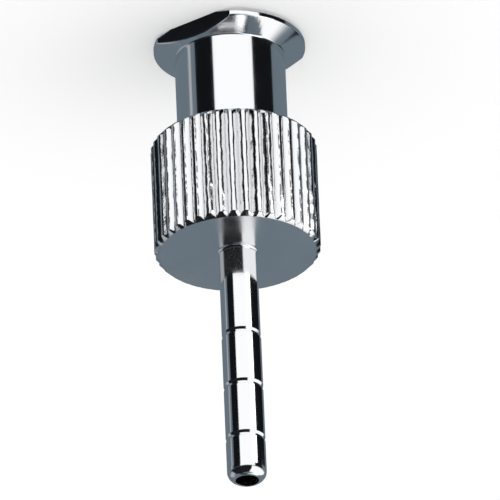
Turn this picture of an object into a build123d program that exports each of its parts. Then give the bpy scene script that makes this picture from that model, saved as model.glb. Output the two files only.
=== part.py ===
from build123d import *
import os
from math import pi, radians, tan

# A female luer lock fitting with a tube stem, turned in one piece from brass bar and plated.
# It stands on its head: the mouth of the luer socket is at z = 0 and the stem points up, along +Z.
# The two lugs reach along +X and -X, and the two flats between them face +Y and -Y. All sizes are in mm.

# Luer lock head
lug_diameter = 7.8             # over the two lugs, as a luer lock collar takes them
lug_land = 0.23                # width of the band left at the tip of each lug
mouth_face_diameter = 6.9      # the flat ring round the mouth, before the flats
flat_distance = 6.2            # across the two flats
flank_angle = 28.0             # of both sides of the lug rim, from a plane across the axis
neck_diameter = 5.68
neck_length = 5.01             # from the lug rim to the grip collar
neck_fillet = 0.12

# Luer socket: a 6 % taper, which narrows by 0.06 mm in each mm of depth, over a straight pilot hole
socket_mouth_diameter = 4.29
socket_taper = 0.06
socket_taper_depth = 7.5
socket_lead_in = 0.08          # chamfer at the mouth
pilot_length = 0.9             # the straight hole left below the taper
drill_point_angle = 118.0      # the cone that the drill leaves at its end

# Grip collar with a straight knurl
collar_diameter = 8.54         # over the crests of the teeth
collar_length = 6.28
collar_chamfer = 0.24
tooth_count = 40
tooth_crest_width = 0.18       # the narrow land left on each tooth
groove_angle = 88.0            # between the two sides of a groove
first_groove_turn = 5.8        # from the middle of the +X lug, in degrees

# Tube stem with rings, which grip the tube
stem_diameter = 1.99           # from the grip collar to the first ring
barb_diameter = 2.03           # of the barbs between the rings
stem_length = 13.12            # from the grip collar to the tip
stem_root_fillet = 0.18
first_ring_distance = 4.72     # from the grip collar to the first ring
ring_pitch = 2.98
ring_count = 3
ring_depth = 0.09              # below the barbs
ring_bevel = 0.13              # length of the short slope into the ring
ring_width = 0.15              # length of the straight bottom of the ring
nose_length = 0.55             # the rounded end of the stem
nose_round = 0.10              # how far the nose bulges out from a straight slope
bore_diameter = 1.2
bore_edge = 0.05               # land left round the bore at the tip


# Places worked out from the sizes above
lug_radius = lug_diameter / 2
mouth_face_radius = mouth_face_diameter / 2
neck_radius = neck_diameter / 2
slope = tan(radians(flank_angle))
lug_land_start = (lug_radius - mouth_face_radius) * slope
lug_land_end = lug_land_start + lug_land
neck_start = lug_land_end + (lug_radius - neck_radius) * slope
collar_start = neck_start + neck_length
collar_end = collar_start + collar_length
tip_end = collar_end + stem_length
collar_radius = collar_diameter / 2
stem_radius = stem_diameter / 2
barb_radius = barb_diameter / 2
bore_radius = bore_diameter / 2
socket_mouth_radius = socket_mouth_diameter / 2
pilot_radius = socket_mouth_radius - socket_taper * socket_taper_depth / 2
pilot_end = socket_taper_depth + pilot_length


def head_outline():
    """Half section of the luer head and neck, from the axis out and up to the grip collar."""
    rim = Polyline(
        (0, collar_start),
        (0, 0),
        (mouth_face_radius, 0),
        (lug_radius, lug_land_start),
        (lug_radius, lug_land_end),
        (neck_radius, neck_start),
        (neck_radius, collar_start - neck_fillet),
    )
    foot_center = (neck_radius + neck_fillet, collar_start - neck_fillet)
    foot = CenterArc(foot_center, neck_fillet, start_angle=90, arc_size=90)
    top = Line((neck_radius + neck_fillet, collar_start), (0, collar_start))
    return make_face(Plane.XZ * (rim + foot + top))


def luer_head():
    """The lug rim and neck, turned round, with the two flats that leave the lugs standing."""
    head = revolve(head_outline(), Axis.Z)
    between_flats = Box(
        lug_diameter,
        flat_distance,
        collar_start,
        align=(Align.CENTER, Align.CENTER, Align.MIN),
    )
    return head & between_flats


def groove_cutter():
    """One V groove of the knurl, longer than the collar at both ends."""
    tooth_pitch = pi * collar_diameter / tooth_count
    half_width = (tooth_pitch - tooth_crest_width) / 2
    groove_depth = half_width / tan(radians(groove_angle / 2))
    overhang = groove_depth
    outer = collar_radius + overhang
    outer_half_width = half_width + overhang * tan(radians(groove_angle / 2))
    triangle = Polyline(
        (collar_radius - groove_depth, 0),
        (outer, outer_half_width),
        (outer, -outer_half_width),
        close=True,
    )
    cutter = extrude(make_face(triangle), amount=collar_length + 2 * overhang)
    return Pos(0, 0, collar_start - overhang) * cutter


def grip_collar():
    """The grip collar, chamfered at both ends and cut by the V grooves of a straight knurl."""
    blank = Cylinder(
        collar_radius,
        collar_length,
        align=(Align.CENTER, Align.CENTER, Align.MIN),
    )
    blank = Pos(0, 0, collar_start) * blank
    end_edges = blank.edges().filter_by(GeomType.CIRCLE)
    blank = chamfer(end_edges, collar_chamfer)
    cutter = groove_cutter()
    turns = [first_groove_turn + 360 / tooth_count * i for i in range(tooth_count)]
    grooves = [Rot(0, 0, turn) * cutter for turn in turns]
    return blank - grooves


def stem_outline():
    """Half section of the stem: a rounded root, barbs parted by rings, and a nose round the bore."""
    ring_radius = barb_radius - ring_depth
    nose_start = tip_end - nose_length
    tip_radius = bore_radius + bore_edge
    root_center = (stem_radius + stem_root_fillet, collar_end + stem_root_fillet)
    root = CenterArc(root_center, stem_root_fillet, start_angle=180, arc_size=90)
    side_points = [root @ 0]
    land_radius = stem_radius
    for ring in range(ring_count):
        ring_start = collar_end + first_ring_distance + ring * ring_pitch
        ring_end = ring_start + ring_bevel + ring_width
        side_points += [
            (land_radius, ring_start),
            (ring_radius, ring_start + ring_bevel),
            (ring_radius, ring_end),
            (barb_radius, ring_end),
        ]
        land_radius = barb_radius
    side_points.append((barb_radius, nose_start))
    nose_middle = (
        (barb_radius + tip_radius) / 2 + nose_round,
        (nose_start + tip_end) / 2 + nose_round / 2,
    )
    side = Polyline(*side_points)
    nose = ThreePointArc(side_points[-1], nose_middle, (tip_radius, tip_end))
    axis_side = Polyline(nose @ 1, (0, tip_end), (0, collar_end), root @ 1)
    return make_face(Plane.XZ * (root + side + nose + axis_side))


def tube_stem():
    """The barbed stem, turned round."""
    return revolve(stem_outline(), Axis.Z)


def socket_and_bore():
    """What is cut out along the axis: the luer taper, the pilot hole and drill point, and the bore."""
    drill_point = (pilot_radius - bore_radius) / tan(radians(drill_point_angle / 2))
    section = [
        (0, 0),
        (socket_mouth_radius + socket_lead_in, 0),
        (socket_mouth_radius, socket_lead_in),
        (pilot_radius, socket_taper_depth),
        (pilot_radius, pilot_end),
        (bore_radius, pilot_end + drill_point),
        (bore_radius, tip_end),
        (0, tip_end),
    ]
    return revolve(make_face(Plane.XZ * Polyline(*section, close=True)), Axis.Z)


def luer_fitting():
    """The whole fitting as one solid."""
    body = luer_head() + grip_collar() + tube_stem() - socket_and_bore()
    body.label = "luer_fitting"
    return body


os.makedirs("parts", exist_ok=True)
export_step(luer_fitting(), "parts/luer_fitting.step")
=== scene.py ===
import math

import bpy
import numpy as np
from mathutils import Matrix, Vector


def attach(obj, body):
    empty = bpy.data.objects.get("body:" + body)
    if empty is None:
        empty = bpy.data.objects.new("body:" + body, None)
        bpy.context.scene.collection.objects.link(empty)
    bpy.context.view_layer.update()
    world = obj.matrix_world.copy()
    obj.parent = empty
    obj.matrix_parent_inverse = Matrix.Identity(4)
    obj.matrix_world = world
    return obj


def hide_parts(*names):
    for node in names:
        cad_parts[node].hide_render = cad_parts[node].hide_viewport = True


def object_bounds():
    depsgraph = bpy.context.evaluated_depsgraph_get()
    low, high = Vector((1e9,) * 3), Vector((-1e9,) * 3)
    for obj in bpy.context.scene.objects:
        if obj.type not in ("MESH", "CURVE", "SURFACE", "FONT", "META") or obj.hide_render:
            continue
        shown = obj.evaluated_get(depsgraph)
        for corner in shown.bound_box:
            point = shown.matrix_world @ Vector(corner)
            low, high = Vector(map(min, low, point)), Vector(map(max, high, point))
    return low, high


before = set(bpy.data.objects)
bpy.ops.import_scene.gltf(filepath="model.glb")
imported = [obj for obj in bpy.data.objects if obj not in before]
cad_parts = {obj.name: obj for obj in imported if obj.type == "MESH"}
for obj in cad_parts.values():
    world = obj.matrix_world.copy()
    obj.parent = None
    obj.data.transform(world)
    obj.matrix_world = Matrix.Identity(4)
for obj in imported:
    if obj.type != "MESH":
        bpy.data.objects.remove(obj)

cad_box = [list(corner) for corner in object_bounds()]

MM = 0.001
NODE = "luer_fitting"

# Heights of the fitting, from the frame: the mouth stands on the floor and the stem's tip is the top.
tip_height = cad_box[1][2] / MM
collar_radius = cad_box[1][1] / MM

# Luer lock head, in mm
lug_radius = 3.9
lug_land = 0.23
mouth_face_radius = 3.45
flat_from_axis = 3.1
flank_slope = math.tan(math.radians(28.0))
neck_radius = 2.84
neck_length = 5.01
neck_fillet = 0.12
lug_land_start = (lug_radius - mouth_face_radius) * flank_slope
lug_land_end = lug_land_start + lug_land
neck_start = lug_land_end + (lug_radius - neck_radius) * flank_slope

# Luer socket
socket_mouth_radius = 2.145
socket_taper = 0.06
socket_taper_depth = 7.5
socket_lead_in = 0.08
pilot_length = 0.9
drill_point_half_angle = math.radians(59.0)
pilot_radius = socket_mouth_radius - socket_taper * socket_taper_depth / 2
pilot_end = socket_taper_depth + pilot_length

# Grip collar and its straight knurl
collar_length = 6.28
collar_chamfer = 0.24
collar_start = neck_start + neck_length
collar_end = collar_start + collar_length
tooth_count = 40
tooth_crest_width = 0.18
groove_half_angle = math.radians(44.0)
first_groove_turn = math.radians(5.8)
tooth_pitch = 2 * math.pi * collar_radius / tooth_count
groove_depth = (tooth_pitch - tooth_crest_width) / 2 / math.tan(groove_half_angle)
groove_root_round = 0.03
crest_edge_round = 0.034
tooth_wobble = 0.014
flat_edge_round = 0.008

# Tube stem
stem_radius = 0.995
barb_radius = 1.015
root_fillet = 0.18
first_ring = 4.72
ring_pitch = 2.98
ring_count = 3
ring_depth = 0.09
ring_bevel = 0.13
ring_width = 0.15
nose_length = 0.55
nose_round = 0.10
bore_radius = 0.6
bore_edge = 0.05

# Camera: how it stands to the fitting
camera_azimuth = -36.0
camera_elevation = 28.3
camera_lean = 2.4
view_width = 25.70
aim_height = 0.469
aim_right = 1.0585
aim_down = 10.24
camera_distance = 1100.0


# ---------------------------------------------------------------- shape of the fitting

def arc_at_corner(before, corner, after, radius, count):
    """Points of the arc of the given radius that rounds a corner: the arc's centre lies on the
    bisector at radius / sin(half angle), and its points swing evenly between the two tangent points."""
    before, corner, after = (np.array(p, float) for p in (before, corner, after))
    to_before = (before - corner) / np.linalg.norm(before - corner)
    to_after = (after - corner) / np.linalg.norm(after - corner)
    half_angle = np.arccos(np.clip(to_before @ to_after, -1, 1)) / 2
    bisector = (to_before + to_after) / np.linalg.norm(to_before + to_after)
    centre = corner + bisector * radius / np.sin(half_angle)
    start = corner + to_before * radius / np.tan(half_angle) - centre
    end = corner + to_after * radius / np.tan(half_angle) - centre
    swing = np.pi - 2 * half_angle
    t = np.linspace(0, 1, count)[:, None]
    return centre + (np.sin((1 - t) * swing) * start + np.sin(t * swing) * end) / np.sin(swing)


def outline():
    """Closed half section of the fitting as (radius, height) rows, up the outside and down the inside.
    Each corner is given as radius, height, rounding, rows of the arc, and rows in the span after it."""
    drill_point = (pilot_radius - bore_radius) / math.tan(drill_point_half_angle)
    ring_radius = barb_radius - ring_depth
    lead_in_radius = socket_mouth_radius + socket_lead_in
    chamfer_radius = collar_radius - collar_chamfer
    groove_floor = collar_radius - groove_depth - 0.05
    corners = [
        (lead_in_radius, 0, 0.02, 3, 0),
        (3.0, 0, 0, 1, 0),
        (mouth_face_radius, 0, 0.04, 4, 5),
        (lug_radius, lug_land_start, 0.05, 5, 1),
        (lug_radius, lug_land_end, 0.05, 5, 12),
        (neck_radius, neck_start, 0.08, 5, 2),
        (neck_radius, collar_start, neck_fillet, 6, 0),
        (groove_floor, collar_start, 0, 1, 0),
        (chamfer_radius, collar_start, 0.03, 3, 2),
        (collar_radius, collar_start + collar_chamfer, 0.03, 3, 34),
        (collar_radius, collar_end - collar_chamfer, 0.03, 3, 2),
        (chamfer_radius, collar_end, 0.03, 3, 0),
        (groove_floor, collar_end, 0, 1, 1),
        (stem_radius, collar_end, root_fillet, 8, 2),
    ]
    for ring in range(ring_count):
        start = collar_end + first_ring + ring * ring_pitch
        end = start + ring_bevel + ring_width
        corners += [
            (stem_radius if ring == 0 else barb_radius, start, 0.03, 3, 0),
            (ring_radius, start + ring_bevel, 0.02, 2, 0),
            (ring_radius, end, 0.02, 2, 0),
            (barb_radius, end, 0.02, 3, 1),
        ]
    nose_start = tip_height - nose_length
    tip_radius = bore_radius + bore_edge
    rows = []
    for (r0, z0, *_), (r, z, rounding, arc_rows, span_rows), (r1, z1, *_) in zip(
        [(lead_in_radius, 0.2)] + corners,
        corners,
        corners[1:] + [(barb_radius, nose_start)],
    ):
        arc = np.array([[r, z]], float)
        if rounding:
            arc = arc_at_corner((r0, z0), (r, z), (r1, z1), rounding, arc_rows)
        rows += list(arc)
        t = np.linspace(0, 1, span_rows + 2)[1:-1, None]
        rows += list(arc[-1] + t * (np.array([r1, z1]) - arc[-1]))
    rows += list(nose(barb_radius, nose_start, tip_radius))
    rows += [
        (tip_radius, tip_height),
        (bore_radius + 0.01, tip_height),
        (bore_radius, tip_height - 0.01),
        (bore_radius, tip_height - 1.0),
        (bore_radius, pilot_end + drill_point + 0.3),
        (bore_radius, pilot_end + drill_point),
        (pilot_radius - 0.03, pilot_end + 0.018),
        (pilot_radius, pilot_end - 0.03),
        (pilot_radius, socket_taper_depth),
        (socket_mouth_radius, socket_lead_in + 0.01),
        (socket_mouth_radius + 0.01, socket_lead_in - 0.01),
    ]
    return np.array(rows)


def nose(start_radius, start_height, end_radius):
    """The rounded end of the stem: the circle through the end of the barb, the edge of the tip and a
    middle point that bulges out by nose_round, given as points at even angles about its centre."""
    a = np.array([start_radius, start_height])
    b = np.array([(start_radius + end_radius) / 2 + nose_round,
                  (start_height + tip_height) / 2 + nose_round / 2])
    c = np.array([end_radius, tip_height])
    sides = 2 * np.array([b - a, c - a])
    centre = np.linalg.solve(sides, [b @ b - a @ a, c @ c - a @ a])
    radius = np.linalg.norm(a - centre)
    first = math.atan2(*(a - centre)[::-1])
    last = math.atan2(*(c - centre)[::-1])
    swing = np.linspace(first, last, 10)[:-1]
    return centre + radius * np.stack([np.cos(swing), np.sin(swing)], axis=1)


def softer_minimum(a, b, blend):
    """The smaller of two radii, rounded over about the blend length where they meet:
    minus the blend times the logarithm of exp(-a / blend) + exp(-b / blend)."""
    return -blend * np.logaddexp(-a / blend, -b / blend)


def column_angles():
    """Angles of the columns: the same places in each tooth, close together at its crest and root."""
    half = np.array([0.03, 0.14, 0.26, 0.32, 0.36, 0.39, 0.43])
    in_tooth = np.concatenate([-half[::-1], [0], half])
    teeth = np.arange(tooth_count)[:, None]
    return first_groove_turn + ((teeth + in_tooth[None, :]) * 2 * np.pi / tooth_count).ravel()


def fitting_points():
    """Every point of the fitting's skin: the closed section turned round the axis, where the radius is
    the smallest of the turned radius, the flats (distance / |sin angle|) in the head, and in the collar
    the V groove (root radius / (cos d - |sin d| / tan half angle), d being the angle from the root)."""
    section = outline()
    turned = section[:, :1]
    height = section[:, 1:]
    outside = np.arange(len(section))[:, None] <= np.argmax(section[:, 1])
    angle = column_angles()[None, :]

    flats = flat_from_axis / np.maximum(np.abs(np.sin(angle)), 0.05)
    in_head = outside & (height < neck_start + 0.5) & (turned > neck_radius - 0.05)
    radius = np.where(in_head, softer_minimum(turned, flats, flat_edge_round), turned + 0 * angle)

    tooth = np.round((angle - first_groove_turn) * tooth_count / (2 * np.pi))
    phase = 2.399 * tooth
    wander = (
        np.sin(height * 3.1 + phase)
        + 0.6 * np.sin(height * 7.7 + 2.3 * phase)
        + 0.45 * np.sin(height * 15.3 + 4.1 * phase)
    )
    root_angle = first_groove_turn + tooth * 2 * np.pi / tooth_count
    off_root = angle - root_angle + wander * tooth_wobble / collar_radius
    sideways = np.hypot(np.sin(off_root), groove_root_round / collar_radius)
    root_radius = collar_radius - groove_depth
    groove = root_radius / (np.cos(off_root) - sideways / math.tan(groove_half_angle))
    in_collar = outside & (height > collar_start - 0.001) & (height < collar_end + 0.001)
    in_collar = in_collar & (turned > root_radius - 0.02)
    radius = np.where(in_collar, softer_minimum(radius, groove, crest_edge_round), radius)

    x = radius * np.cos(angle)
    y = radius * np.sin(angle)
    z = height + 0 * angle
    return np.stack([x, y, z], axis=-1) * MM


def grid_normals(points):
    """Normals of a grid closed both ways: each quad's diagonals crossed, which weighs it by its area,
    and added up at its four corners."""
    right = np.roll(points, -1, axis=1)
    up = np.roll(points, -1, axis=0)
    across = np.roll(right, -1, axis=0)
    quads = np.cross(across - points, up - right)
    total = quads + np.roll(quads, 1, axis=0)
    total = total + np.roll(total, 1, axis=1)
    return total / np.linalg.norm(total, axis=-1, keepdims=True)


def closed_grid(name, points):
    """Mesh of a grid of points that closes on itself along both of its directions."""
    rows, columns = points.shape[:2]
    index = np.arange(rows * columns).reshape(rows, columns)
    right = np.roll(index, -1, axis=1)
    quads = np.stack(
        [index, right, np.roll(right, -1, axis=0), np.roll(index, -1, axis=0)], axis=-1
    ).reshape(-1, 4)
    mesh = bpy.data.meshes.new(name)
    mesh.from_pydata(points.reshape(-1, 3), [], quads)
    mesh.shade_smooth()
    mesh.normals_split_custom_set_from_vertices(grid_normals(points).reshape(-1, 3))
    return mesh


# ---------------------------------------------------------------- materials

def add_node(tree, kind, **settings):
    node = tree.nodes.new(kind)
    for key, value in settings.items():
        setattr(node, key, value)
    return node


def math_node(tree, operation, *inputs):
    """A Math node whose inputs are sockets or plain numbers; gives its output socket."""
    node = add_node(tree, "ShaderNodeMath", operation=operation)
    for slot, value in enumerate(inputs):
        if isinstance(value, (int, float)):
            node.inputs[slot].default_value = value
        else:
            tree.links.new(value, node.inputs[slot])
    return node.outputs[0]


def add(tree, a, b):
    return math_node(tree, "ADD", a, b)


def times(tree, a, b):
    return math_node(tree, "MULTIPLY", a, b)


def mix_colour(tree, share, first, second):
    """The first colour where share is 0 and the second where it is 1; each is a socket or an RGB tuple."""
    node = add_node(tree, "ShaderNodeMix", data_type="RGBA")
    tree.links.new(share, node.inputs[0])
    for slot, value in ((6, first), (7, second)):
        if isinstance(value, tuple):
            node.inputs[slot].default_value = (*value, 1)
        else:
            tree.links.new(value, node.inputs[slot])
    return node.outputs[2]


def smooth_step(tree, value, start, end):
    """0 below start and 1 above end, smooth between; the other way round where end is below start."""
    node = add_node(tree, "ShaderNodeMapRange", interpolation_type="SMOOTHSTEP", clamp=True)
    tree.links.new(value, node.inputs["Value"])
    low, high = min(start, end), max(start, end)
    node.inputs["From Min"].default_value = low
    node.inputs["From Max"].default_value = high
    node.inputs["To Min"].default_value = 0 if start < end else 1
    node.inputs["To Max"].default_value = 1 if start < end else 0
    return node.outputs["Result"]


def band(tree, value, low, high, soft):
    """1 from low to high and 0 outside, smooth over soft on both sides of each end."""
    rise = smooth_step(tree, value, low - soft, low + soft)
    fall = smooth_step(tree, value, high + soft, high - soft)
    return times(tree, rise, fall)


def noise(tree, vector, scale, detail):
    node = add_node(tree, "ShaderNodeTexNoise", noise_dimensions="3D")
    tree.links.new(vector, node.inputs["Vector"])
    node.inputs["Scale"].default_value = scale
    node.inputs["Detail"].default_value = detail
    return node.outputs["Fac"]


def drawn_out(tree, place, height_scale):
    """Places whose height counts less, so that a noise laid on them is drawn out along the axis."""
    node = add_node(tree, "ShaderNodeMapping")
    tree.links.new(place, node.inputs["Vector"])
    node.inputs["Scale"].default_value = (1, 1, height_scale)
    return node.outputs[0]


def height_and_radius(tree, place):
    """Height above the mouth and distance from the axis."""
    parts = add_node(tree, "ShaderNodeSeparateXYZ")
    tree.links.new(place, parts.inputs[0])
    flat_place = add_node(tree, "ShaderNodeVectorMath", operation="MULTIPLY")
    tree.links.new(place, flat_place.inputs[0])
    flat_place.inputs[1].default_value = (1, 1, 0)
    off_axis = add_node(tree, "ShaderNodeVectorMath", operation="LENGTH")
    tree.links.new(flat_place.outputs[0], off_axis.inputs[0])
    return parts.outputs["Z"], off_axis.outputs["Value"]


def machining_marks(tree, place, height, off_axis, in_collar, on_knurl):
    """Bump of the turning marks, which run round the axis, of the lines along the knurl, and of specks,
    which are stronger on the collar."""
    ring_place = add_node(tree, "ShaderNodeCombineXYZ")
    tree.links.new(off_axis, ring_place.inputs[0])
    tree.links.new(height, ring_place.inputs[1])
    marks = add_node(tree, "ShaderNodeMix", data_type="FLOAT")
    tree.links.new(on_knurl, marks.inputs[0])
    tree.links.new(noise(tree, ring_place.outputs[0], 9000, 4), marks.inputs[2])
    tree.links.new(noise(tree, drawn_out(tree, place, 0.12), 8000, 3), marks.inputs[3])
    speck_strength = add(tree, 0.25, times(tree, in_collar, 3.2))
    specks = times(tree, noise(tree, place, 9000, 2), speck_strength)
    bump = add_node(tree, "ShaderNodeBump")
    bump.inputs["Strength"].default_value = 0.35
    bump.inputs["Distance"].default_value = 0.003 * MM
    tree.links.new(add(tree, marks.outputs[0], specks), bump.inputs["Height"])
    return bump.outputs[0]


def plate_colour(tree, place, off_axis, on_knurl):
    """Nickel white, with painted shade: darker towards the roots of the knurl, and near-black patches of
    painted shade on the teeth's shoulders.
    """
    # Painted shade: the plate colour is darkened towards the roots of the knurl's grooves.
    in_root = smooth_step(tree, off_axis, (collar_radius - groove_depth * 0.45) * MM,
                          (collar_radius - groove_depth) * MM)
    painted_root_shade = times(tree, times(tree, on_knurl, in_root), 0.6)
    tone = mix_colour(tree, painted_root_shade, (0.84, 0.85, 0.86), (0.60, 0.61, 0.62))
    # Painted shade: near-black patches on the teeth's shoulders, broken up by noise, stand in for the
    # shade in the knurl's grooves.
    painted_shade_patches = smooth_step(tree, noise(tree, drawn_out(tree, place, 0.4), 6000, 3), 0.44, 0.54)
    on_shoulder = times(
        tree,
        smooth_step(tree, off_axis, (collar_radius - 0.065) * MM, (collar_radius - 0.045) * MM),
        smooth_step(tree, off_axis, (collar_radius - 0.010) * MM, (collar_radius - 0.018) * MM),
    )
    painted_shoulder_shade = times(tree, times(tree, on_shoulder, painted_shade_patches), on_knurl)
    return mix_colour(tree, times(tree, painted_shoulder_shade, 0.8), tone, (0.05, 0.05, 0.055))


def plate_roughness(tree, place, height, off_axis, on_knurl):
    """Bright plate whose roughness drifts from place to place, a little duller on the knurl and satin on
    the collar's end face."""
    drift = noise(tree, place, 700, 3)
    plain = add(tree, 0.05, times(tree, drift, 0.10))
    knurled = add(tree, plain, times(tree, on_knurl, 0.03))
    on_end_face = times(
        tree,
        band(tree, height, (collar_end - 0.02) * MM, (collar_end + 0.02) * MM, 0.01 * MM),
        smooth_step(tree, off_axis, (stem_radius + 0.05) * MM, (stem_radius + 0.15) * MM),
    )
    satin = add(tree, 0.03, times(tree, drift, 0.16))
    return add(tree, knurled, times(tree, on_end_face, satin))


def plated_metal():
    """Bright nickel plate over turned brass."""
    material = bpy.data.materials.new("bright_nickel_plate")
    material.use_nodes = True
    tree = material.node_tree
    tree.nodes.clear()
    place = add_node(tree, "ShaderNodeTexCoord").outputs["Object"]
    height, off_axis = height_and_radius(tree, place)
    in_collar = band(tree, height, collar_start * MM, collar_end * MM, 0.02 * MM)
    past_roots = smooth_step(tree, off_axis, (collar_radius - groove_depth - 0.06) * MM,
                             (collar_radius - groove_depth) * MM)
    on_knurl = times(tree, in_collar, past_roots)
    colour = plate_colour(tree, place, off_axis, on_knurl)
    roughness = plate_roughness(tree, place, height, off_axis, on_knurl)
    bump = machining_marks(tree, place, height, off_axis, in_collar, on_knurl)
    shader = add_node(tree, "ShaderNodeBsdfPrincipled")
    shader.inputs["Metallic"].default_value = 1.0
    tree.links.new(colour, shader.inputs["Base Color"])
    tree.links.new(roughness, shader.inputs["Roughness"])
    tree.links.new(bump, shader.inputs["Normal"])
    output = add_node(tree, "ShaderNodeOutputMaterial")
    tree.links.new(shader.outputs[0], output.inputs[0])
    return material


def floor_paper():
    """Plain white paper. The camera sees it a little brighter than it is lit, so that it reads as white
    and still keeps the fitting's shadow; nothing else is lit by that."""
    material = bpy.data.materials.new("floor_paper")
    material.use_nodes = True
    tree = material.node_tree
    shader = tree.nodes["Principled BSDF"]
    shader.inputs["Roughness"].default_value = 1.0
    shader.inputs["Specular IOR Level"].default_value = 0.0
    shader.inputs["Base Color"].default_value = (0.97, 0.97, 0.97, 1)
    shader.inputs["Emission Color"].default_value = (1, 1, 1, 1)
    path = add_node(tree, "ShaderNodeLightPath")
    lift = times(tree, path.outputs["Is Camera Ray"], 0.07)
    tree.links.new(lift, shader.inputs["Emission Strength"])
    return material


# ---------------------------------------------------------------- studio

# What the bright metal mirrors, as colours
WALL = (0.15, 0.19, 0.225)
WHITE = (1.15, 1.15, 1.15)
BLACK = (0.006, 0.007, 0.009)
STREAK = (0.45, 0.46, 0.47)
NEAR_WHITE = (2.4, 2.4, 2.4)

# Cards of the studio, each laid over those before it: colour, azimuths from and to, elevations from and
# to, and how soft its sides and its upper and lower edges are, all in degrees. Azimuth 0 is behind the
# camera and grows to the right of its picture.
CARDS = [
    (STREAK, -98, -90, -80, -5, 1.5, 4),
    (BLACK, 46, 98, -80, 0, 1.5, 4),
    (BLACK, -78, -30, -80, 0, 1.5, 4),
    (BLACK, -100, 30, 2, 76, 1.5, 4),
    (WHITE, -35, 48, -80, -3, 1.5, 4),
    (WHITE, 30, 128, 4, 70, 1.5, 8),
    (WHITE, 110, 146, 48, 82, 5, 6),
    (STREAK, -135, -96, 12, 40, 4, 4),
    (BLACK, -180, -105, 66, 90, 8, 6),
    (BLACK, -90, 90, -100, -80, 5, 2),
    (WHITE, 90, 270, -100, -80, 5, 2),
    (WHITE, -190, -90, -100, -80, 5, 2),
]


def studio_world():
    """Soft white light all round. What the bright metal mirrors is a studio: a white table sheet in
    front, black flags at both sides of it and above, a tall window on one side, and blue-grey walls."""
    world = bpy.data.worlds.new("studio")
    bpy.context.scene.world = world
    world.use_nodes = True
    tree = world.node_tree
    tree.nodes.clear()
    turn = math.radians(camera_azimuth)
    direction = add_node(tree, "ShaderNodeTexCoord").outputs["Generated"]

    def along(vector):
        node = add_node(tree, "ShaderNodeVectorMath", operation="DOT_PRODUCT")
        tree.links.new(direction, node.inputs[0])
        node.inputs[1].default_value = vector
        return node.outputs["Value"]

    front = along((math.sin(turn), -math.cos(turn), 0))
    side = along((-math.cos(turn), -math.sin(turn), 0))
    azimuth = math_node(tree, "DEGREES", math_node(tree, "ARCTAN2", side, front))
    elevation = math_node(tree, "DEGREES", math_node(tree, "ARCSINE", along((0, 0, 1))))

    picture = WALL
    for colour, left, right, bottom, top, soft_side, soft_edge in CARDS:
        across = band(tree, azimuth, left, right, soft_side)
        up = band(tree, elevation, bottom, top, soft_edge)
        picture = mix_colour(tree, times(tree, across, up), picture, colour)

    path = add_node(tree, "ShaderNodeLightPath")
    plain = mix_colour(tree, path.outputs["Is Camera Ray"], (0.94, 0.94, 0.94), (1, 1, 1))
    seen = mix_colour(tree, path.outputs["Is Glossy Ray"], plain, picture)
    background = add_node(tree, "ShaderNodeBackground")
    tree.links.new(seen, background.inputs["Color"])
    output = add_node(tree, "ShaderNodeOutputWorld")
    tree.links.new(background.outputs[0], output.inputs[0])


def studio_floor():
    """A round sheet on which the fitting stands. It isn't mirrored in the metal: the studio is."""
    half = 2.0
    mesh = bpy.data.meshes.new("floor")
    swing = np.linspace(0, 2 * np.pi, 64, endpoint=False)
    ring = np.stack([half * np.cos(swing), half * np.sin(swing), 0 * swing], axis=1)
    mesh.from_pydata(ring, [], [list(range(len(ring)))])
    floor = bpy.data.objects.new("floor", mesh)
    mesh.materials.append(floor_paper())
    bpy.context.scene.collection.objects.link(floor)
    floor.visible_glossy = False


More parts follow.
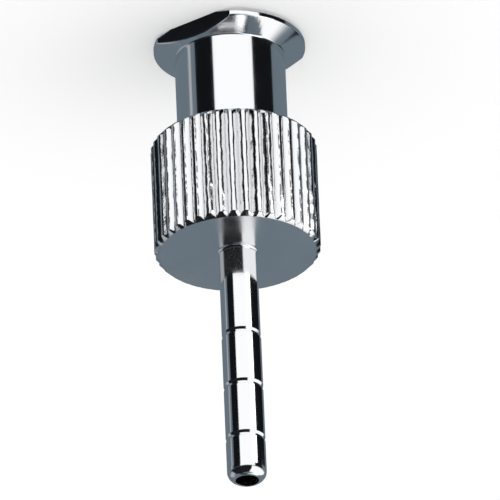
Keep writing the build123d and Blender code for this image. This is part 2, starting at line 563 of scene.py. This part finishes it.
def near_flag(name, colour, start, end):
    """A bent card that stands beside the stem, from azimuth start to end as seen from the camera's side.
    Only the metal mirrors it, and its light falls on nothing."""
    from_axis, bottom, top = 20.0, 2.5, 15.0
    turn = np.radians(camera_azimuth - 90 - np.linspace(start, end, 13))
    ring = from_axis * np.stack([np.cos(turn), np.sin(turn)], axis=1)
    low = np.column_stack([ring, np.full(len(ring), bottom)])
    high = np.column_stack([ring, np.full(len(ring), top)])
    first = np.arange(len(ring) - 1)
    quads = np.stack([first, first + 1, first + 1 + len(ring), first + len(ring)], axis=1)
    mesh = bpy.data.meshes.new(name)
    mesh.from_pydata(np.concatenate([low, high]) * MM, [], quads)
    material = bpy.data.materials.new(name)
    material.use_nodes = True
    tree = material.node_tree
    tree.nodes.clear()
    glow = add_node(tree, "ShaderNodeEmission")
    glow.inputs["Color"].default_value = (*colour, 1)
    output = add_node(tree, "ShaderNodeOutputMaterial")
    tree.links.new(glow.outputs[0], output.inputs[0])
    mesh.materials.append(material)
    flag = bpy.data.objects.new(name, mesh)
    bpy.context.scene.collection.objects.link(flag)
    flag.visible_camera = False
    flag.visible_diffuse = False
    flag.visible_shadow = False


def soft_lamp():
    """One large soft lamp high on the window side, which gives the floor a faint shadow."""
    data = bpy.data.lights.new("soft_lamp", "AREA")
    data.shape = "DISK"
    data.size = 0.5
    data.energy = 0.4
    lamp = bpy.data.objects.new("soft_lamp", data)
    lamp.location = (-0.4, 0.1, 0.7)
    lamp.rotation_mode = "QUATERNION"
    lamp.rotation_quaternion = Vector(lamp.location).to_track_quat("Z", "Y")
    lamp.visible_glossy = False
    bpy.context.scene.collection.objects.link(lamp)


def camera():
    """Long lens, turned over so that the head is at the top of the picture and the stem hangs down,
    leaning by camera_lean to the lower right."""
    turn, rise = math.radians(camera_azimuth), math.radians(camera_elevation)
    lean = math.radians(camera_lean)
    back = Vector((math.sin(turn) * math.cos(rise), -math.cos(turn) * math.cos(rise), math.sin(rise)))
    level = Vector((math.cos(turn), math.sin(turn), 0))
    along_stem = back.cross(level)
    right = -math.cos(lean) * level + math.sin(lean) * along_stem
    up = back.cross(right)
    target = Vector((0, 0, aim_height)) + aim_right * right - aim_down * up
    data = bpy.data.cameras.new("camera")
    data.sensor_width = 36
    data.lens = 36 * camera_distance / view_width
    data.clip_start = 0.01
    data.clip_end = 20
    cam = bpy.data.objects.new("camera", data)
    cam.matrix_world = Matrix.Translation((target + camera_distance * back) * MM) @ Matrix(
        (right, up, back)).transposed().to_4x4()
    bpy.context.scene.collection.objects.link(cam)
    bpy.context.scene.camera = cam


def fitting():
    """The fitting as one finely drawn closed skin, which stands for the CAD node of the same name."""
    piece = bpy.data.objects.new("plated_" + NODE, closed_grid("plated_" + NODE, fitting_points()))
    bpy.context.scene.collection.objects.link(piece)
    piece.data.materials.append(plated_metal())
    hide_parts(NODE)
    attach(piece, "root")


camera()
studio_world()
studio_floor()
near_flag("near_white_flag", NEAR_WHITE, 40, 66)
near_flag("near_black_flag", BLACK, 66, 132)
soft_lamp()
fitting()
bpy.context.scene.view_settings.view_transform = "Standard"
